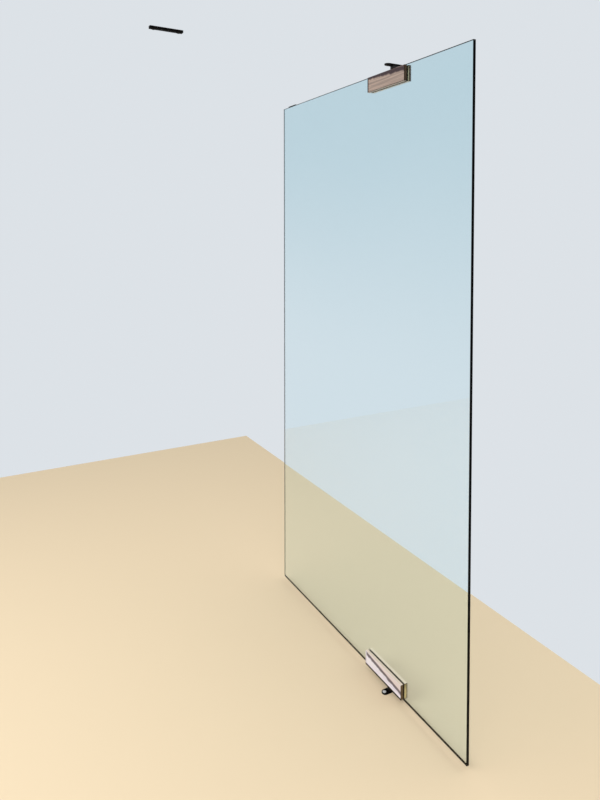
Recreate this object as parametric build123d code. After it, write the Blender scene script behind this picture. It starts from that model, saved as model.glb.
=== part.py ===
from build123d import *
import os

# Frameless glass door leaf hung on two patch fittings, one in its bottom edge and one in its top edge.
# The wall runs along X and the leaf is modelled standing open, square to it, along Y.
# Z is up; the origin is on the pivot axis at the finished floor, under the floor plate.
# The pivot axis stands about a third of the way along the leaf: short side to -Y, long side to +Y.

# Opening that the leaf is cut for
opening_width = 1346
opening_height = 2366
side_gap = 10
floor_gap = 18
head_gap = 16

# Glass pane
glass_thickness = 10
arris = 0.8
short_side = 425
notch_depth = 34
notch_radius = 12

# Patch fitting: clamp halves on gaskets, channel covers, a pivot insert with its bush
fitting_length = 232
fitting_height = 57
fitting_thickness = 37
fitting_near_end = 87
edge_inset = 4
cover_wall = 1.5
cover_edge_radius = 1.8
cover_rim_gap = 0.5
clamp_end_recess = 0.8
gasket_thickness = 1
gasket_margin = 3
boss_diameter = 20
boss_gap = 0.5
screw_inset = 40
insert_width = 25
insert_length = 44
insert_roof = 2
collar_protrusion = 10
passage_clearance = 0.5

# Clamp screws, low socket head
screw_diameter = 8
screw_clearance = 0.6
screw_tip_gap = 2
head_diameter = 13
head_height = 5
head_recess_depth = 6
head_recess_clearance = 1
socket_across_flats = 5
socket_depth = 3

# Pivot: pin, bush and thrust washer
pin_diameter = 14
pin_end_gap = 1.5
bush_diameter = 19
running_fit = 0.05
washer_diameter = 25

# Pivot plates on the floor and under the head
plate_length = 78
plate_width = 26
plate_thickness = 5
plate_edge_chamfer = 0.8
plate_screw_spacing = 58
plate_screw_hole = 5.5
plate_screw_countersink = 10.5

# Strike plate under the head and the magnet strip that stops below it
strike_length = 102
strike_width = 14
strike_thickness = 8
strike_from_edge = 54
strike_screw_spacing = 76
magnet_length = 70
magnet_height = 4
magnet_from_edge = 86
magnet_edge_chamfer = 0.6

# Placements that follow from the sizes above
overcut = 5
glass_width = opening_width - 2 * side_gap
glass_height = opening_height - floor_gap - head_gap
glass_top = floor_gap + glass_height
glass_middle = floor_gap + glass_height / 2
glass_face = glass_thickness / 2
long_side = glass_width - short_side
cover_face = fitting_thickness / 2
clamp_outer = cover_face - cover_wall
clamp_inner = glass_face + gasket_thickness
fitting_far_end = fitting_length - fitting_near_end
fitting_low = floor_gap + edge_inset
fitting_high = fitting_low + fitting_height
clamp_low = fitting_low + cover_wall
clamp_high = fitting_high - cover_wall
clamp_near = -fitting_near_end + clamp_end_recess
clamp_far = fitting_far_end - clamp_end_recess
collar_end = floor_gap - collar_protrusion
notch_top = floor_gap + notch_depth
screw_places = [-fitting_near_end + screw_inset, fitting_far_end - screw_inset]
notch_near = screw_places[0] - boss_diameter
notch_far = screw_places[-1] + boss_diameter
screw_height = floor_gap + notch_depth / 2
insert_top = notch_top - insert_roof
bush_top = insert_top - insert_roof
pin_top = bush_top - pin_end_gap
strike_centre = long_side - strike_from_edge
magnet_centre = long_side - magnet_from_edge


def block(x0, x1, y0, y1, z0, z1):
    """Box between six limits."""
    centre = Pos((x0 + x1) / 2, (y0 + y1) / 2, (z0 + z1) / 2)
    return centre * Box(x1 - x0, y1 - y0, z1 - z0)


def rod_along_x(x0, x1, y, z, diameter):
    """Round bar lying across the leaf."""
    turned = Pos(x0, y, z) * Rot(0, 90, 0)
    return turned * Cylinder(diameter / 2, x1 - x0, align=(Align.CENTER, Align.CENTER, Align.MIN))


def upright(z0, z1, diameter):
    """Round bar on the pivot axis."""
    return Pos(0, 0, z0) * Cylinder(diameter / 2, z1 - z0, align=(Align.CENTER, Align.CENTER, Align.MIN))


def to_top(shape):
    """The same piece at the other edge of the glass."""
    return mirror(shape, about=Plane.XY.offset(glass_middle))


def to_left(shape):
    """The same piece on the other face of the glass."""
    return mirror(shape, about=Plane.YZ)


def notch():
    """Cut-out in the bottom edge of the pane that makes room for the insert and the clamp screws."""
    cut = block(-clamp_outer, clamp_outer, notch_near, notch_far, floor_gap - overcut, notch_top)
    corners = cut.edges().filter_by(Axis.X).group_by(Axis.Z)[-1]
    return fillet(corners, notch_radius)


def glass_pane():
    """Toughened pane with polished arrises and one notch in each end."""
    pane = block(-glass_face, glass_face, -short_side, long_side, floor_gap, glass_top)
    pane = chamfer(pane.edges(), arris)
    return pane - notch() - to_top(notch())


def gasket():
    """Fibre gasket between a clamp half and the glass, cut out round the notch."""
    pad = block(glass_face, clamp_inner,
                -fitting_near_end + gasket_margin, fitting_far_end - gasket_margin,
                fitting_low + gasket_margin, fitting_high - gasket_margin)
    return pad - notch()


def clamp_blank():
    """Clamp half before its bosses and screw holes, with the pocket for the insert."""
    blank = block(clamp_inner, clamp_outer, clamp_near, clamp_far, clamp_low, clamp_high)
    pocket = block(0, insert_width / 2, -insert_length / 2, insert_length / 2,
                   clamp_low - overcut, insert_top)
    return blank - pocket


def tapped_clamp():
    """Clamp half that takes the screw threads in bosses reaching through the notch."""
    clamp = clamp_blank()
    boss_end = boss_gap - clamp_inner
    for place in screw_places:
        clamp += rod_along_x(boss_end, clamp_inner, place, screw_height, boss_diameter)
        clamp -= rod_along_x(boss_end, clamp_outer, place, screw_height, screw_diameter)
    return clamp


def headed_clamp():
    """Clamp half with clearance holes and sunk seats for the screw heads."""
    clamp = clamp_blank()
    seat = clamp_outer - head_recess_depth
    for place in screw_places:
        clamp -= rod_along_x(0, clamp_outer, place, screw_height, screw_diameter + screw_clearance)
        clamp -= rod_along_x(seat, clamp_outer, place, screw_height, head_diameter + head_recess_clearance)
    return to_left(clamp)


def clamp_screws():
    """Two low-head socket screws that draw the clamp halves together."""
    seat = -clamp_outer + head_recess_depth
    tip = clamp_outer - screw_tip_gap
    shank = rod_along_x(seat, tip, 0, 0, screw_diameter)
    head = rod_along_x(seat - head_height, seat, 0, 0, head_diameter)
    hexagon = RegularPolygon(socket_across_flats / 2, 6, major_radius=False)
    socket = Pos(seat - head_height, 0, 0) * Rot(0, 90, 0) * extrude(hexagon, socket_depth)
    screw = shank + head - socket
    return [Pos(0, place, screw_height) * screw for place in screw_places]


def cover():
    """Channel-shaped metal cover over one clamp half, relieved round the collar of the insert."""
    rim = glass_face + cover_rim_gap
    shell = block(rim, cover_face, -fitting_near_end, fitting_far_end, fitting_low, fitting_high)
    arrises = shell.edges().filter_by(Axis.Y).group_by(Axis.X)[-1]
    shell = fillet(arrises, cover_edge_radius)
    shell -= block(0, clamp_outer, -fitting_length, fitting_length, clamp_low, clamp_high)
    return shell - upright(collar_end, clamp_low, insert_width + 2 * passage_clearance)


def pivot_insert():
    """Steel block clamped in the notch, with a collar out to the edge, bored for the bush."""
    body = block(-insert_width / 2, insert_width / 2, -insert_length / 2, insert_length / 2,
                 clamp_low, insert_top)
    body += upright(collar_end, clamp_low, insert_width)
    return body - upright(collar_end, bush_top, bush_diameter)


def pivot_bush():
    """Plain bearing bush pressed into the insert."""
    sleeve = upright(collar_end, bush_top, bush_diameter)
    return sleeve - upright(collar_end, bush_top, pin_diameter + 2 * running_fit)


def screw_holes(spacing, thickness, hole, countersink):
    """Two countersunk holes, heads downward, in a plate whose back is at z = thickness."""
    sink_depth = (countersink - hole) / 2
    holes = Part()
    on_base = (Align.CENTER, Align.CENTER, Align.MIN)
    for side in (-1, 1):
        at = Pos(side * spacing / 2, 0, 0)
        holes += at * Cylinder(hole / 2, thickness, align=on_base)
        holes += at * Cone(countersink / 2, hole / 2, sink_depth, align=on_base)
    return holes


def pivot_plate():
    """Oblong plate with round ends, its screw heads on the lower face and a hole for the pin."""
    plate = extrude(SlotOverall(plate_length, plate_width), plate_thickness)
    plate = chamfer(plate.faces().sort_by(Axis.Z)[0].edges(), plate_edge_chamfer)
    plate -= screw_holes(plate_screw_spacing, plate_thickness, plate_screw_hole, plate_screw_countersink)
    return plate - Cylinder(pin_diameter / 2, 4 * plate_thickness)


def floor_plate():
    """Pivot plate screwed down to the floor."""
    return mirror(pivot_plate(), about=Plane.XY.offset(plate_thickness / 2))


def floor_spindle():
    """Fixed pin that the leaf turns on."""
    return upright(0, pin_top, pin_diameter)


def thrust_washer():
    """Bearing washer between the floor plate and the collar, which carries the leaf."""
    ring = upright(plate_thickness, collar_end, washer_diameter)
    return ring - upright(plate_thickness, collar_end, pin_diameter)


def head_plate():
    """Pivot plate screwed up to the underside of the opening."""
    return Pos(0, 0, opening_height - plate_thickness) * pivot_plate()


def head_pin():
    """Pin of the head plate, reaching down into the top fitting."""
    return upright(2 * glass_middle - pin_top, opening_height, pin_diameter)


def strike_plate():
    """Plain steel bar under the head, over the magnet strip of the closed leaf."""
    plate = block(-strike_length / 2, strike_length / 2, -strike_width / 2, strike_width / 2,
                  0, strike_thickness)
    plate = chamfer(plate.faces().sort_by(Axis.Z)[0].edges(), plate_edge_chamfer)
    plate -= screw_holes(strike_screw_spacing, strike_thickness, plate_screw_hole, plate_screw_countersink)
    return Pos(-strike_centre, 0, opening_height - strike_thickness) * plate


def magnet_strip():
    """Magnet strip bonded on the top edge of the pane near its long end."""
    half_width = glass_face - arris
    strip = block(-half_width, half_width,
                  magnet_centre - magnet_length / 2, magnet_centre + magnet_length / 2,
                  glass_top, glass_top + magnet_height)
    return chamfer(strip.faces().sort_by(Axis.Z)[-1].edges(), magnet_edge_chamfer)


def patch_fitting():
    """All pieces of the bottom fitting by name."""
    return {
        "gasket_left": to_left(gasket()),
        "gasket_right": gasket(),
        "clamp_left": headed_clamp(),
        "clamp_right": tapped_clamp(),
        "clamp_screws": Compound(children=clamp_screws()),
        "cover_left": to_left(cover()),
        "cover_right": cover(),
        "pivot_insert": pivot_insert(),
        "pivot_bush": pivot_bush(),
    }


nodes = {
    "glass_pane": glass_pane(),
    "magnet_strip": magnet_strip(),
    "floor_plate": floor_plate(),
    "floor_spindle": floor_spindle(),
    "thrust_washer": thrust_washer(),
    "head_plate": head_plate(),
    "head_pin": head_pin(),
    "strike_plate": strike_plate(),
}
for name, piece in patch_fitting().items():
    nodes["bottom_" + name] = piece
    nodes["top_" + name] = to_top(piece)

os.makedirs("parts", exist_ok=True)
for name, piece in nodes.items():
    export_step(piece, "parts/" + name + ".step")
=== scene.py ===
import math

import bmesh
import bpy
from mathutils import Matrix, Vector


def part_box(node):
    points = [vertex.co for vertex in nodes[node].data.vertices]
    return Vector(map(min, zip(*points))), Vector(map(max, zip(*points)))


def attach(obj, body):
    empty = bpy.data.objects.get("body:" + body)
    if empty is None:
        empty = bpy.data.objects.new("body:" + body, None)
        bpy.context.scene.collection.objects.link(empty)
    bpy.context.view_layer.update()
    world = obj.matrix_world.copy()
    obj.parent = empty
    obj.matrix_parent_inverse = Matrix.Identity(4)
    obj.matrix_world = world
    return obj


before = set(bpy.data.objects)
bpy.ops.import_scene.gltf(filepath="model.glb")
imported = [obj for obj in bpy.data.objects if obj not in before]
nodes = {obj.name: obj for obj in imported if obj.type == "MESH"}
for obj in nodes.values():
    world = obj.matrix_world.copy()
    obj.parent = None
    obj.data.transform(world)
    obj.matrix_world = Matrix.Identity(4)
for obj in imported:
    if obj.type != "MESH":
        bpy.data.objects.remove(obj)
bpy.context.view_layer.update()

# Frameless glass door leaf on two patch fittings, standing open, square to its wall.
# Lengths are metres. X runs along the wall, Y along the open leaf, Z up from the finished floor.


# Shader sockets and nodes

def srgb(red, green, blue):
    """Linear colour of a tone given in 0 to 255."""
    def linear(level):
        level /= 255
        return level / 12.92 if level <= 0.04045 else ((level + 0.055) / 1.055) ** 2.4
    return (linear(red), linear(green), linear(blue), 1.0)


class Wire:
    """One output socket; Python's operators on it add Math nodes."""

    def __init__(self, finish, socket):
        self.finish = finish
        self.socket = socket

    def math(self, operation, *values):
        return self.finish.math(operation, *values)

    def __add__(self, other):
        return self.math("ADD", self, other)

    def __radd__(self, other):
        return self.math("ADD", other, self)

    def __sub__(self, other):
        return self.math("SUBTRACT", self, other)

    def __rsub__(self, other):
        return self.math("SUBTRACT", other, self)

    def __mul__(self, other):
        return self.math("MULTIPLY", self, other)

    def __rmul__(self, other):
        return self.math("MULTIPLY", other, self)

    def __truediv__(self, other):
        return self.math("DIVIDE", self, other)

    def __rtruediv__(self, other):
        return self.math("DIVIDE", other, self)

    def __abs__(self):
        return self.math("ABSOLUTE", self)


class Finish:
    """A material built from nodes."""

    def __init__(self, name):
        self.material = bpy.data.materials.new(name)
        self.material.use_nodes = True
        self.tree = self.material.node_tree
        self.tree.nodes.clear()

    @staticmethod
    def socket(sockets, key):
        """A socket by its number, identifier or name."""
        if isinstance(key, int):
            return sockets[key]
        exact = [s for s in sockets if s.identifier == key]
        return exact[0] if exact else sockets[key]

    def node(self, kind, settings=None, values=None, output=0):
        """Adds a node: its settings first, then the values or links of its sockets."""
        made = self.tree.nodes.new(kind)
        for key, value in (settings or {}).items():
            setattr(made, key, value)
        for key, value in (values or {}).items():
            socket = self.socket(made.inputs, key)
            if isinstance(value, Wire):
                self.tree.links.new(value.socket, socket)
            else:
                socket.default_value = value
        return Wire(self, self.socket(made.outputs, output)) if made.outputs else None

    def math(self, operation, *values):
        return self.node("ShaderNodeMath", {"operation": operation}, dict(enumerate(values)))

    def split(self, source):
        """X, Y and Z of a Texture Coordinate output, on the piece's own axes."""
        spot = self.node("ShaderNodeTexCoord", output=source)
        return [self.node("ShaderNodeSeparateXYZ", values={0: spot}, output=i) for i in range(3)]

    def ramp(self, value, low, high):
        """0 below low, 1 above high, smooth between."""
        values = {"Value": value, "From Min": low, "From Max": high}
        return self.node("ShaderNodeMapRange", {"interpolation_type": "SMOOTHSTEP"}, values)

    def mix(self, share, first, second):
        """Colour between two colours."""
        values = {"Factor_Float": share, "A_Color": first, "B_Color": second}
        return self.node("ShaderNodeMix", {"data_type": "RGBA"}, values, "Result_Color")

    def noise(self, scale, stretch=(1, 1, 1), detail=3.0):
        """Noise on the piece's own axes, its pattern drawn out along the axes with a small stretch."""
        spot = self.node("ShaderNodeTexCoord", output="Object")
        spot = self.node("ShaderNodeMapping", values={"Vector": spot, "Scale": stretch})
        return self.node("ShaderNodeTexNoise", values={"Vector": spot, "Scale": scale, "Detail": detail})

    def bump(self, height, distance, strength=1.0):
        values = {"Height": height, "Distance": distance, "Strength": strength}
        return self.node("ShaderNodeBump", values=values)

    def principled(self, **values):
        named = {key.replace("_", " "): value for key, value in values.items()}
        return self.node("ShaderNodeBsdfPrincipled", values=named)

    def blend(self, share, first, second):
        """Shader between two shaders."""
        return self.node("ShaderNodeMixShader", values={0: share, 1: first, 2: second})

    def finished(self, shader):
        """Puts the shader on the material's output and gives the material."""
        self.node("ShaderNodeOutputMaterial", values={"Surface": shader})
        return self.material


# Finishes

def clear_glass():
    """Toughened glass with a faint cool tint and painted shade towards its top, on its ground edges and along
    them.
    """
    low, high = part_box("glass_pane")
    finish = Finish("clear_float_glass")
    _, y, z = finish.split("Object")
    toward_x, _, toward_z = finish.split("Normal")
    drift = finish.noise(1.3, detail=2.0)
    # Painted shade: the tint grows darker towards the top of the pane.
    low_tint = finish.mix(drift, (0.850, 0.965, 0.995, 1), (0.880, 0.975, 1.000, 1))
    high_shaded_tint = finish.mix(drift, (0.640, 0.825, 0.880, 1), (0.680, 0.850, 0.900, 1))
    tint = finish.mix(finish.ramp(z, 1.1, 2.3), low_tint, high_shaded_tint)
    glass = finish.principled(Base_Color=tint, Roughness=0.0, IOR=1.52, Transmission_Weight=1.0)
    lamp_ray = finish.node("ShaderNodeLightPath", output="Is Shadow Ray")
    lit = finish.node("ShaderNodeBsdfTransparent", values={"Color": (0.95, 0.975, 0.975, 1)})
    face = finish.blend(lamp_ray, glass, lit)

    # The edge tones are painted shade: the near upright edge black, the bottom edge dark brown and the top
    # edge dark olive. The far upright edge has a painted grey-blue reflection with light flecks.
    at_far_edge = finish.ramp(y, 0.85, 0.90)
    upright_edge_shade_and_reflection = finish.mix(at_far_edge, srgb(3, 4, 4), srgb(78, 92, 100))
    level_edge_shade = finish.mix(finish.ramp(z, 1.0, 2.0), srgb(20, 15, 8), srgb(44, 44, 38))
    grind = finish.noise(900, detail=2.0)
    flat = finish.ramp(abs(toward_x), 0.9, 0.98)
    level = finish.math("MAXIMUM", finish.ramp(abs(toward_z), 0.3, 0.7), flat)
    tone = finish.mix(level * (1 - at_far_edge), upright_edge_shade_and_reflection, level_edge_shade)
    tone = finish.mix(0.12 * grind * at_far_edge, tone, srgb(96, 104, 98))
    edge = finish.principled(
        Base_Color=tone, Metallic=1.0, Roughness=0.28 + 0.14 * grind,
        Normal=finish.bump(grind, 0.00005, 0.4))
    on_edge = 1 - flat
    # Painted shade: the faces darken within a few millimetres of their edges, most along the bottom and the
    # near edge.
    top_border = 1 - finish.ramp(high.z - z, 0.0010, 0.0022)
    bottom_border = 1 - finish.ramp(z - low.z, 0.0048, 0.0066)
    far_border = 1 - finish.ramp(high.y - y, 0.0012, 0.0028)
    near_border = 1 - finish.ramp(y - low.y, 0.0016, 0.0030)
    border = finish.math("MAXIMUM", finish.math("MAXIMUM", bottom_border, near_border),
                         0.8 * finish.math("MAXIMUM", top_border, far_border))
    return finish.finished(finish.blend(finish.math("MAXIMUM", on_edge, border), face, edge))


def satin_nickel(name, cover, face, cap, underside, streak, band, far_end, bedding_reach, lower_shade_line):
    """Satin metal drawn along the fitting, with dark ends and a dark bedding line at the glass.

    The streak on the near face is a painted reflection, given by its height above the cover's lower edge at
    the far and at the near end, and by its half width. The band has the painted reflected tone above the
    streak and that of the streak. The face has two tones. The cap and the underside carry painted light and
    shade, one tone on the left of the glass and one on the right. A strip of the near face along its far end
    takes far_end as painted shade. The sawn ends are painted shade. The bedding line ends at bedding_reach
    from the middle of the glass; it is the dark gasket joint, widened onto the cover by painted shade. A line
    of painted shade as high as lower_shade_line runs along the near face's lower edge.
    """
    low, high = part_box(cover)
    finish = Finish(name)
    x, y, z = finish.split("Object")
    _, toward_y, toward_z = finish.split("Normal")
    fine = finish.noise(1.0, (1600, 24, 1600), 2.0)
    broad = finish.noise(1.0, (210, 5, 210), 3.0)
    sway = finish.noise(1.0, (0, 38, 0), 2.0)
    tone = finish.mix(finish.ramp(broad, 0.35, 0.65), face[0], face[1])

    # Painted reflection: a dark diagonal streak across the near face, with a band of reflected tone above it.
    far, near, half = streak
    along = (high.y - y) / (high.y - low.y)
    off = z - low.z - (far + (near - far) * along) + 0.002 * (broad - 0.5) + 0.010 * (sway - 0.5)
    half = half * (0.55 + 0.9 * sway)
    near_face = finish.ramp(0 - x, 0.0165, 0.018)
    tone = finish.mix(0.8 * finish.ramp(off, 0.0, 0.004) * near_face, tone, band[0])
    tone = finish.mix((1 - finish.ramp(abs(off), half * 0.3, half)) * near_face, tone, band[1])
    # Painted shade: a darker strip of the near face along its far end.
    tone = finish.mix(finish.ramp(y, high.y - 0.009, high.y - 0.005) * near_face, tone, far_end)

    # Painted light and shade: the cap and the underside get their own tones, one on each side of the glass.
    right = finish.ramp(x, -0.001, 0.001)
    tone = finish.mix(finish.ramp(toward_z, 0.6, 0.9), tone, finish.mix(right, *cap))
    tone = finish.mix(finish.ramp(0 - toward_z, 0.6, 0.9), tone, finish.mix(right, *underside))
    # The bedding line is the dark gasket joint, widened onto the cover by painted shade; the sawn ends are
    # painted shade.
    dark = 1 - finish.ramp(abs(x), bedding_reach, bedding_reach + 0.001)
    dark = finish.math("MAXIMUM", dark, finish.ramp(abs(toward_y), 0.8, 0.95))
    # Painted shade: a dark line along the near face's lower edge.
    lower_edge_shade = (1 - finish.ramp(z - low.z, lower_shade_line, lower_shade_line + 0.0014)) * near_face
    dark = finish.math("MAXIMUM", dark, lower_edge_shade)
    tone = finish.mix(dark, tone, srgb(30, 22, 15))
    metal = finish.principled(
        Base_Color=tone, Metallic=0.45 + 0.55 * dark, Roughness=0.36 + 0.10 * fine + 0.06 * broad,
        Normal=finish.bump(fine, 0.00004, 0.35))
    return finish.finished(metal)


def clamp_casting(name, clamp, deep, light, pale, pale_reach):
    """Brown anodised casting with painted light on the right of the glass out to pale_reach, less near its
    top.
    """
    low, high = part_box(clamp)
    finish = Finish(name)
    x, _, z = finish.split("Object")
    grain = finish.noise(420, detail=4.0)
    # Painted light: pale on the right of the glass, dimmed by painted shade towards the top.
    painted_light_share = finish.ramp(x, 0.0, 0.002) * (1 - finish.ramp(x, pale_reach, pale_reach + 0.002))
    painted_light_share = painted_light_share * (1 - 0.6 * finish.ramp(z, (low.z + high.z) / 2, high.z))
    tone = finish.mix(painted_light_share, finish.mix(grain, deep, light), pale)
    metal = finish.principled(
        Base_Color=tone, Metallic=0.4, Roughness=0.42 + 0.2 * grain,
        Normal=finish.bump(grain, 0.0002, 0.4))
    return finish.finished(metal)


def turned_steel():
    """Bright turned steel."""
    finish = Finish("turned_steel")
    rings = finish.noise(1.0, (120, 120, 3200), 2.0)
    tone = finish.mix(rings, srgb(176, 178, 182), srgb(206, 207, 210))
    metal = finish.principled(
        Base_Color=tone, Metallic=1.0, Roughness=0.22 + 0.16 * rings,
        Normal=finish.bump(rings, 0.00003, 0.4))
    return finish.finished(metal)


def blackened_steel():
    """Oiled black oxide on turned steel."""
    finish = Finish("blackened_steel")
    rings = finish.noise(1.0, (120, 120, 3200), 2.0)
    tone = finish.mix(rings, srgb(34, 31, 31), srgb(58, 54, 53))
    metal = finish.principled(
        Base_Color=tone, Metallic=0.8, Roughness=0.34 + 0.16 * rings,
        Normal=finish.bump(rings, 0.00003, 0.4))
    return finish.finished(metal)


def bearing_bronze():
    """Plain bearing bronze."""
    finish = Finish("bearing_bronze")
    rings = finish.noise(1.0, (150, 150, 2600), 2.0)
    cloud = finish.noise(90)
    tone = finish.mix(cloud, srgb(168, 118, 62), srgb(196, 150, 92))
    metal = finish.principled(
        Base_Color=tone, Metallic=1.0, Roughness=0.28 + 0.2 * rings,
        Normal=finish.bump(rings, 0.00003, 0.4))
    return finish.finished(metal)


def gasket_fibre():
    """Dark compressed fibre."""
    finish = Finish("gasket_fibre")
    fibres = finish.noise(1.0, (900, 260, 1500), 4.0)
    tone = finish.mix(fibres, srgb(22, 18, 14), srgb(46, 40, 33))
    fibre = finish.principled(
        Base_Color=tone, Roughness=0.75 + 0.2 * fibres,
        Normal=finish.bump(fibres, 0.0002, 0.5))
    return finish.finished(fibre)


def black_paint():
    """Semi-matt black paint, thin on the chamfered edges."""
    finish = Finish("semi_matt_black_paint")
    orange_peel = finish.noise(1400, detail=2.0)
    scuff = finish.noise(140, detail=5.0)
    slope = abs(finish.split("Normal")[2])
    chamfer = finish.ramp(slope, 0.3, 0.6) * (1 - finish.ramp(slope, 0.8, 0.95))
    worn = finish.ramp(scuff, 0.50, 0.62) * (0.06 + 0.4 * chamfer)
    tone = finish.mix(worn, srgb(5, 4, 4), srgb(52, 47, 44))
    paint = finish.principled(
        Base_Color=tone, Roughness=0.50 + 0.16 * scuff, Specular_IOR_Level=0.06,
        Normal=finish.bump(orange_peel, 0.00006, 0.4))
    return finish.finished(paint)


def magnet_rubber():
    """Matt dark rubber of the magnet strip."""
    finish = Finish("matt_magnet_rubber")
    dust = finish.noise(320, detail=5.0)
    tone = finish.mix(finish.ramp(dust, 0.45, 0.75), srgb(13, 12, 11), srgb(34, 31, 28))
    rubber = finish.principled(
        Base_Color=tone, Roughness=0.6 + 0.25 * dust,
        Normal=finish.bump(dust, 0.0001, 0.4))
    return finish.finished(rubber)


def bright_zinc_with_highlight():
    """Bright plated screw heads, their near-white tone partly a painted highlight."""
    finish = Finish("bright_zinc_with_highlight")
    cloud = finish.noise(500)
    tone = finish.mix(cloud, srgb(236, 235, 232), srgb(252, 250, 246))
    metal = finish.principled(
        Base_Color=tone, Metallic=0.7, Roughness=0.25 + 0.2 * cloud,
        Normal=finish.bump(cloud, 0.00004, 0.3))
    return finish.finished(metal)


# One satin nickel on both fittings. The bottom copy's near-white tones and the top copy's darker brown tones
# are painted reflection and shade, and so are the tones of their caps and undersides.
bottom_nickel = satin_nickel(
    "satin_nickel_bottom", "bottom_cover_left",
    face=(srgb(248, 246, 255), srgb(230, 226, 246)), cap=(srgb(236, 214, 190), srgb(255, 230, 198)),
    underside=(srgb(60, 50, 40), srgb(60, 50, 40)), streak=(0.049, 0.028, 0.0095),
    band=(srgb(226, 212, 210), srgb(108, 100, 112)), far_end=srgb(222, 216, 228),
    bedding_reach=0.0062, lower_shade_line=0.0070)
top_nickel = satin_nickel(
    "satin_nickel_top", "top_cover_left",
    face=(srgb(174, 152, 137), srgb(142, 125, 115)), cap=(srgb(150, 132, 122), srgb(150, 132, 122)),
    underside=(srgb(204, 182, 164), srgb(250, 222, 200)), streak=(0.056, 0.044, 0.012),
    band=(srgb(84, 64, 60), srgb(60, 44, 46)), far_end=srgb(54, 42, 42),
    bedding_reach=0.0056, lower_shade_line=0.0004)
glass, rubber, paint = clear_glass(), magnet_rubber(), black_paint()
fibre, bronze = gasket_fibre(), bearing_bronze()
# One brown casting on both fittings: the top copy's darker tones and dimmer pale are painted shade.
bottom_brown = clamp_casting(
    "clamp_brown_bottom", "bottom_clamp_right", srgb(98, 78, 54), srgb(138, 114, 84),
    pale=srgb(250, 224, 164), pale_reach=0.0140)
top_brown = clamp_casting(
    "clamp_brown_top", "top_clamp_right", srgb(58, 42, 28), srgb(92, 70, 50),
    pale=srgb(206, 184, 146), pale_reach=0.0090)
steel, dark_steel = turned_steel(), blackened_steel()

clothed = {
    "glass_pane": glass,
    "magnet_strip": rubber,
    "floor_plate": paint,
    "head_plate": paint,
    "strike_plate": paint,
    "floor_spindle": dark_steel,
    "head_pin": dark_steel,
    "thrust_washer": dark_steel,
}
for end, nickel, brown in (("bottom_", bottom_nickel, bottom_brown), ("top_", top_nickel, top_brown)):
    for side in ("left", "right"):
        clothed[end + "gasket_" + side] = fibre
        clothed[end + "clamp_" + side] = brown
        clothed[end + "cover_" + side] = nickel
    clothed[end + "clamp_screws"] = steel
    clothed[end + "pivot_insert"] = dark_steel
    clothed[end + "pivot_bush"] = bronze

for name, node in nodes.items():
    node.data.materials.clear()
    node.data.materials.append(clothed[name])


# Screws that hold the plates

head_radius = 0.0070
head_height = 0.0010
crown_inset = 0.0013
brow_inset = 0.0004
brow_share = 0.35
cone_radius = 0.0050
shank_radius = 0.0026
socket_radius = 0.0020
socket_depth = 0.0016
socket_taper = 0.9
head_off = 0.0001
pivot_plate_spacing = 0.058
strike_plate_spacing = 0.076


def draw_in(mesh, loop, steps):
    """Draws a loop of edges through rings of the given radius and depth, and closes the last ring."""
    for radius, depth in steps:
        drawn = bmesh.ops.extrude_edge_only(mesh, edges=loop)["geom"]
        ring = [g for g in drawn if isinstance(g, bmesh.types.BMVert)]
        loop = [g for g in drawn if isinstance(g, bmesh.types.BMEdge) and all(v in ring for v in g.verts)]
        share = radius / max(v.co.xy.length for v in ring)
        bmesh.ops.scale(mesh, vec=(share, share, 1), verts=ring)
        bmesh.ops.translate(mesh, vec=(0, 0, depth - ring[0].co.z), verts=ring)
    bmesh.ops.contextual_create(mesh, geom=loop)


def wide_head_screw(name, place, length, downward, plating):
    """Screw whose wide low head starts at the place; its shank runs up, or down if downward is set."""
    mesh = bmesh.new()
    crown = bmesh.ops.create_circle(mesh, segments=36, radius=head_radius - crown_inset)["verts"]
    hexagon = bmesh.ops.create_circle(mesh, segments=6, radius=socket_radius)["verts"]
    crown_edges = [e for e in mesh.edges if e.verts[0] in crown]
    hexagon_edges = [e for e in mesh.edges if e.verts[0] in hexagon]
    bmesh.ops.bridge_loops(mesh, edges=crown_edges + hexagon_edges)
    draw_in(mesh, hexagon_edges, [(socket_radius * socket_taper, socket_depth)])
    cone_depth = head_height + cone_radius - shank_radius
    draw_in(mesh, crown_edges, [
        (head_radius - brow_inset, head_height * brow_share), (head_radius, head_height),
        (cone_radius, head_height), (shank_radius, cone_depth), (shank_radius, length)])
    if downward:
        bmesh.ops.rotate(mesh, cent=(0, 0, 0), matrix=Matrix.Rotation(math.pi, 3, "X"), verts=mesh.verts)
    bmesh.ops.translate(mesh, vec=place, verts=mesh.verts)
    bmesh.ops.recalc_face_normals(mesh, faces=mesh.faces)
    data = bpy.data.meshes.new(name)
    mesh.to_mesh(data)
    mesh.free()
    data.materials.append(plating)
    screw = bpy.data.objects.new(name, data)
    bpy.context.scene.collection.objects.link(screw)
    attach(screw, "fixings")


def plate_screws(plate, spacing, downward, plating):
    """The two screws of a plate, their heads on its free face."""
    low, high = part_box(plate)
    middle = (low + high) / 2
    raised = head_height + head_off
    height = high.z + raised if downward else low.z - raised
    length = high.z - low.z + head_height - head_off
    for number, side in enumerate((-1, 1), 1):
        place = Vector((middle.x + side * spacing / 2, middle.y, height))
        wide_head_screw(f"{plate}_screw_{number}", place, length, downward, plating)


plate_screws("floor_plate", pivot_plate_spacing, True, bright_zinc_with_highlight())
plate_screws("head_plate", pivot_plate_spacing, False, dark_steel)
plate_screws("strike_plate", strike_plate_spacing, False, paint)


# Floor and backdrops

sky_tone = (0.90, 0.95, 1.0, 1)
sky_strength = 0.80
beside = 0.72
behind = 3.1
reach = 11.0
backdrop_height = 6.0


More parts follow.
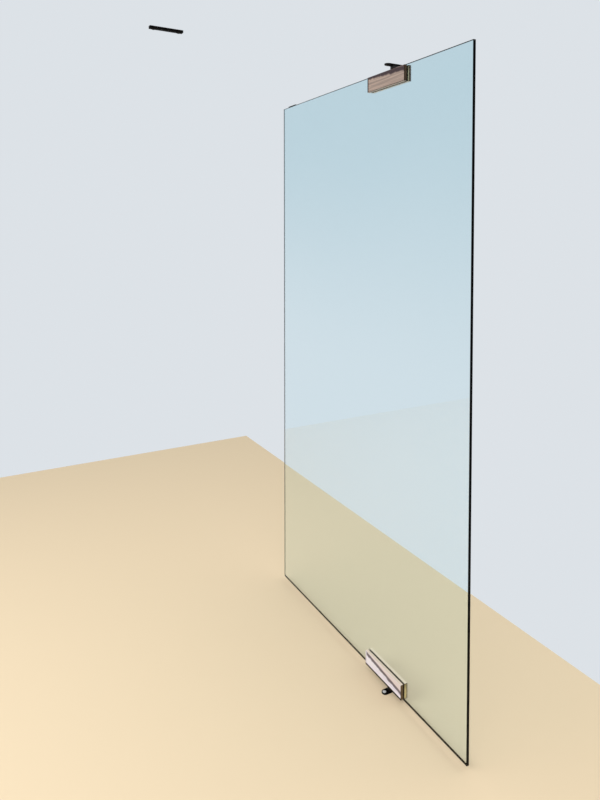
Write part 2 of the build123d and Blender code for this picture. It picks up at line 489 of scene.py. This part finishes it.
def matt_floor():
    """Plain matt floor."""
    finish = Finish("matt_floor")
    matt = finish.principled(Base_Color=srgb(224, 202, 168), Roughness=0.9, Specular_IOR_Level=0.1)
    return finish.finished(matt)


def even_backdrop():
    """Backdrop as pale as the sky; its back lets everything through."""
    finish = Finish("even_backdrop")
    front = finish.node("ShaderNodeEmission", values={"Color": sky_tone, "Strength": sky_strength})
    back = finish.node("ShaderNodeNewGeometry", output="Backfacing")
    clear = finish.node("ShaderNodeBsdfTransparent")
    return finish.finished(finish.blend(back, front, clear))


def lay_out(name, corners, material, lights_object=False):
    """A flat piece of the stage; one that doesn't light the object is only looked at."""
    mesh = bmesh.new()
    mesh.faces.new([mesh.verts.new(corner) for corner in corners])
    data = bpy.data.meshes.new(name)
    mesh.to_mesh(data)
    mesh.free()
    data.materials.append(material)
    piece = bpy.data.objects.new(name, data)
    piece.visible_shadow = False
    piece.visible_diffuse = lights_object
    piece.visible_glossy = lights_object
    bpy.context.scene.collection.objects.link(piece)


def level_corners(x0, x1, y0, y1):
    """Corners of a level piece of floor, its face up."""
    return (x0, y0, 0), (x1, y0, 0), (x1, y1, 0), (x0, y1, 0)


def upright_corners(start, end):
    """Corners of a backdrop on the line between two points, its face on the line's right."""
    return (*start, 0), (*end, 0), (*end, backdrop_height), (*start, backdrop_height)


def lay_stage():
    """Floor under the leaf, the same floor further out, and two backdrops that hide the floor further out."""
    floor, backdrop = matt_floor(), even_backdrop()
    lay_out("floor", level_corners(-reach, beside, -reach, behind), floor, lights_object=True)
    lay_out("floor_to_the_right", level_corners(beside, reach, -reach, reach), floor)
    lay_out("floor_to_the_back", level_corners(-reach, beside, behind, reach), floor)
    lay_out("backdrop_beside", upright_corners((beside, reach), (beside, -reach)), backdrop)
    lay_out("backdrop_behind", upright_corners((-reach, behind), (reach, behind)), backdrop)


lay_stage()


# Light

def softbox(name, place, target, size, power, tone):
    """Square lamp facing the target."""
    lamp = bpy.data.lights.new(name, "AREA")
    lamp.size = size
    lamp.energy = power
    lamp.color = tone
    holder = bpy.data.objects.new(name, lamp)
    holder.visible_transmission = False
    holder.visible_glossy = False
    holder.location = place
    holder.rotation_euler = (Vector(target) - Vector(place)).to_track_quat("-Z", "Y").to_euler()
    bpy.context.scene.collection.objects.link(holder)


softbox("key", (-2.4, -2.6, 4.2), (0, 0.2, 0.9), 2.6, 68, (1.0, 0.98, 0.95))
softbox("left_fill", (-3.7, 0.3, 2.6), (0, 0.2, 0.6), 2.2, 84, (0.95, 0.95, 1.0))
softbox("right_fill", (3.4, -1.6, 3.2), (0, 0.2, 1.0), 3.0, 35, (0.95, 0.98, 1.0))

world = bpy.data.worlds.new("studio")
world.use_nodes = True
sky = world.node_tree.nodes["Background"]
sky.inputs["Color"].default_value = sky_tone
sky.inputs["Strength"].default_value = sky_strength
bpy.context.scene.world = world


# Camera

def aim_camera():
    """Camera at the photograph's place, heading and lens."""
    width, height = 600, 800
    focal, centre_x, centre_y = 639.736, 322.335, 256.139
    place = (-1.4100, -1.9360, 1.7523)
    heading, pitch, roll = (math.radians(turn) for turn in (29.7784, 2.2053, 0.033))
    ahead = Vector((math.sin(heading), math.cos(heading), 0))
    forward = ahead * math.cos(pitch) - Vector((0, 0, math.sin(pitch)))
    level = Vector((math.cos(heading), -math.sin(heading), 0))
    upward = level.cross(forward)
    right = level * math.cos(roll) + upward * math.sin(roll)
    up = upward * math.cos(roll) - level * math.sin(roll)
    lens = bpy.data.cameras.new("camera")
    lens.sensor_width = 36
    lens.lens = focal / height * lens.sensor_width
    lens.shift_x = (width / 2 - centre_x) / height
    lens.shift_y = (centre_y - height / 2) / height
    lens.clip_start = 0.05
    lens.clip_end = 60
    camera = bpy.data.objects.new("camera", lens)
    turned = Matrix((right, up, -forward)).transposed().to_4x4()
    camera.matrix_world = Matrix.Translation(place) @ turned
    bpy.context.scene.collection.objects.link(camera)
    bpy.context.scene.camera = camera


aim_camera()
bpy.context.scene.view_settings.view_transform = "Standard"
